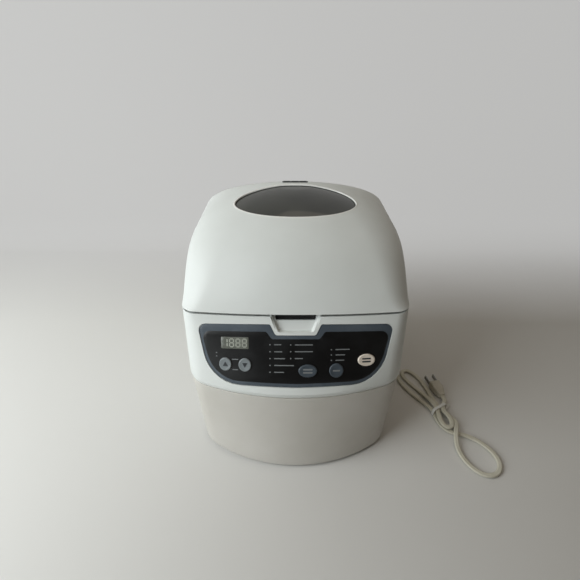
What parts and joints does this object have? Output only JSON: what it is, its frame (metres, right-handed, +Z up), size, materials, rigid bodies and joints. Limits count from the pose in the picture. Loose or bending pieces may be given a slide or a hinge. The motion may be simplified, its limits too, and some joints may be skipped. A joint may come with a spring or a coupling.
{
  "type": "bread machine",
  "caption": "Countertop bread machine with a domed windowed lid, slanted control panel, lift-out pan, kneading paddle, belt drive and a tied mains lead",
  "frame": {"origin": "on the table under the middle of the machine without its lead", "axes": "+X to the right seen from the front, +Y to the back, +Z up"},
  "size_m": [0.3913, 0.4249, 0.2993],
  "materials": {
    "white_plastic": "satin moulded ABS",
    "rim_white": "glossy moulded ABS",
    "slate_plastic": "satin blue-grey print",
    "panel_black": "satin black film",
    "lcd": "clear lens over a grey-green display",
    "key_grey": "metallic grey paint",
    "key_slate": "satin blue-grey",
    "key_cream": "satin cream",
    "smoked_glass": "smoked, glossy",
    "clear_glass": "clear tempered",
    "silicone": "matt grey silicone",
    "dark_rubber": "matt",
    "steel_sheet": "galvanised sheet",
    "dark_steel": "dark oxide",
    "bright_steel": "polished",
    "pan_aluminium": "dark non-stick coating",
    "bearing_bronze": "sintered bronze",
    "pulley_plastic": "moulded, matt",
    "board_green": "solder mask",
    "component_black": "moulded",
    "ceramic": "unglazed ceramic",
    "cord_white": "soft satin PVC",
    "tie_white": "coated twist tie"
  },
  "bodies": {
    "base": {"base_tray": "white_plastic", "chassis_screws": "bright_steel", "rubber_feet": "dark_rubber", "chassis_plate": "steel_sheet", "power_board": "board_green", "power_components": "component_black", "top_deck": "white_plastic", "pocket_cup": "white_plastic", "lower_housing": "white_plastic", "upper_housing": "white_plastic", "panel_border": "slate_plastic", "panel_face": "panel_black", "display_window": "lcd", "control_board": "board_green", "key_switches": "component_black", "display_module": "component_black", "hinge_brackets": "white_plastic", "hinge_pins": "bright_steel", "oven_chamber": "steel_sheet", "element_insulators": "ceramic", "heating_element": "dark_steel", "temperature_sensor": "bright_steel", "thermal_fuse": "bright_steel", "heat_shield": "steel_sheet", "pan_seat": "steel_sheet", "bearing_housing": "pan_aluminium", "bearing_bushes": "bearing_bronze", "drive_belt": "dark_rubber", "motor_bracket": "steel_sheet", "motor": "dark_steel", "strain_relief": "cord_white", "cord_lead": "cord_white", "cord_hank": "cord_white", "plug_body": "cord_white", "plug_blades": "bright_steel", "cord_tie": "tie_white"},
    "lid": {"lid_shell": "white_plastic", "hinge_lugs": "white_plastic", "window_rim": "rim_white", "window_glass": "smoked_glass", "window_gasket": "silicone", "steam_vent": "slate_plastic", "lid_liner": "steel_sheet", "inner_glass": "clear_glass", "lid_seal": "silicone"},
    "pan": {"bread_pan": "pan_aluminium", "pan_bush": "bearing_bronze"},
    "bail": {"pan_handle": "bright_steel"},
    "pan_drive": {"pan_shaft": "bright_steel"},
    "paddle": {"kneading_paddle": "pan_aluminium"},
    "drive": {"drive_shaft": "bright_steel", "drive_coupler": "pulley_plastic", "large_pulley": "pulley_plastic"},
    "motor_rotor": {"motor_shaft": "bright_steel", "small_pulley": "pulley_plastic"},
    "up_key": {"key_up": "key_grey"},
    "down_key": {"key_down": "key_grey"},
    "select_key": {"key_select": "key_slate"},
    "colour_key": {"key_colour": "key_slate"},
    "start_key": {"key_start": "key_cream"}
  },
  "joints": [
    {"name": "lid_swing", "type": "hinge", "parent": "base", "child": "lid", "pos_m": [0, 0.1635, 0.204], "axis": [-1, 0, 0], "range_deg": [0, 85]},
    {"name": "pan_lift", "type": "slide", "parent": "base", "child": "pan", "axis": [0, 0, 1], "range_m": [0, 0.018]},
    {"name": "bail_swing", "type": "hinge", "parent": "pan", "child": "bail", "pos_m": [0, 0.005, 0.1945], "axis": [1, 0, 0], "range_deg": [0, 180]},
    {"name": "pan_drive_spin", "type": "hinge", "parent": "pan", "child": "pan_drive", "pos_m": [0, 0.005, 0.06], "axis": [0, 0, 1], "continuous": true},
    {"name": "paddle_pull", "type": "slide", "parent": "pan_drive", "child": "paddle", "axis": [0, 0, 1], "range_m": [0, 0.03]},
    {"name": "drive_spin", "type": "hinge", "parent": "base", "child": "drive", "pos_m": [0, 0.005, 0.03], "axis": [0, 0, 1], "continuous": true},
    {"name": "motor_spin", "type": "hinge", "parent": "base", "child": "motor_rotor", "pos_m": [-0.06, 0.119, 0.05], "axis": [0, 0, 1], "continuous": true},
    {"name": "up_press", "type": "slide", "parent": "base", "child": "up_key", "axis": [0, 0.8813, -0.4725], "range_m": [0, 0.0008], "stiffness_N_per_m": 800},
    {"name": "down_press", "type": "slide", "parent": "base", "child": "down_key", "axis": [0, 0.8813, -0.4725], "range_m": [0, 0.0008], "stiffness_N_per_m": 800},
    {"name": "select_press", "type": "slide", "parent": "base", "child": "select_key", "axis": [0, 0.8813, -0.4725], "range_m": [0, 0.0008], "stiffness_N_per_m": 800},
    {"name": "colour_press", "type": "slide", "parent": "base", "child": "colour_key", "axis": [0, 0.8813, -0.4725], "range_m": [0, 0.0008], "stiffness_N_per_m": 800},
    {"name": "start_press", "type": "slide", "parent": "base", "child": "start_key", "axis": [0, 0.8813, -0.4725], "range_m": [0, 0.0008], "stiffness_N_per_m": 800}
  ],
  "couplings": [
    {"joint": "pan_drive_spin", "follows": "drive_spin", "ratio": 1},
    {"joint": "motor_spin", "follows": "drive_spin", "ratio": 4.75}
  ]
}
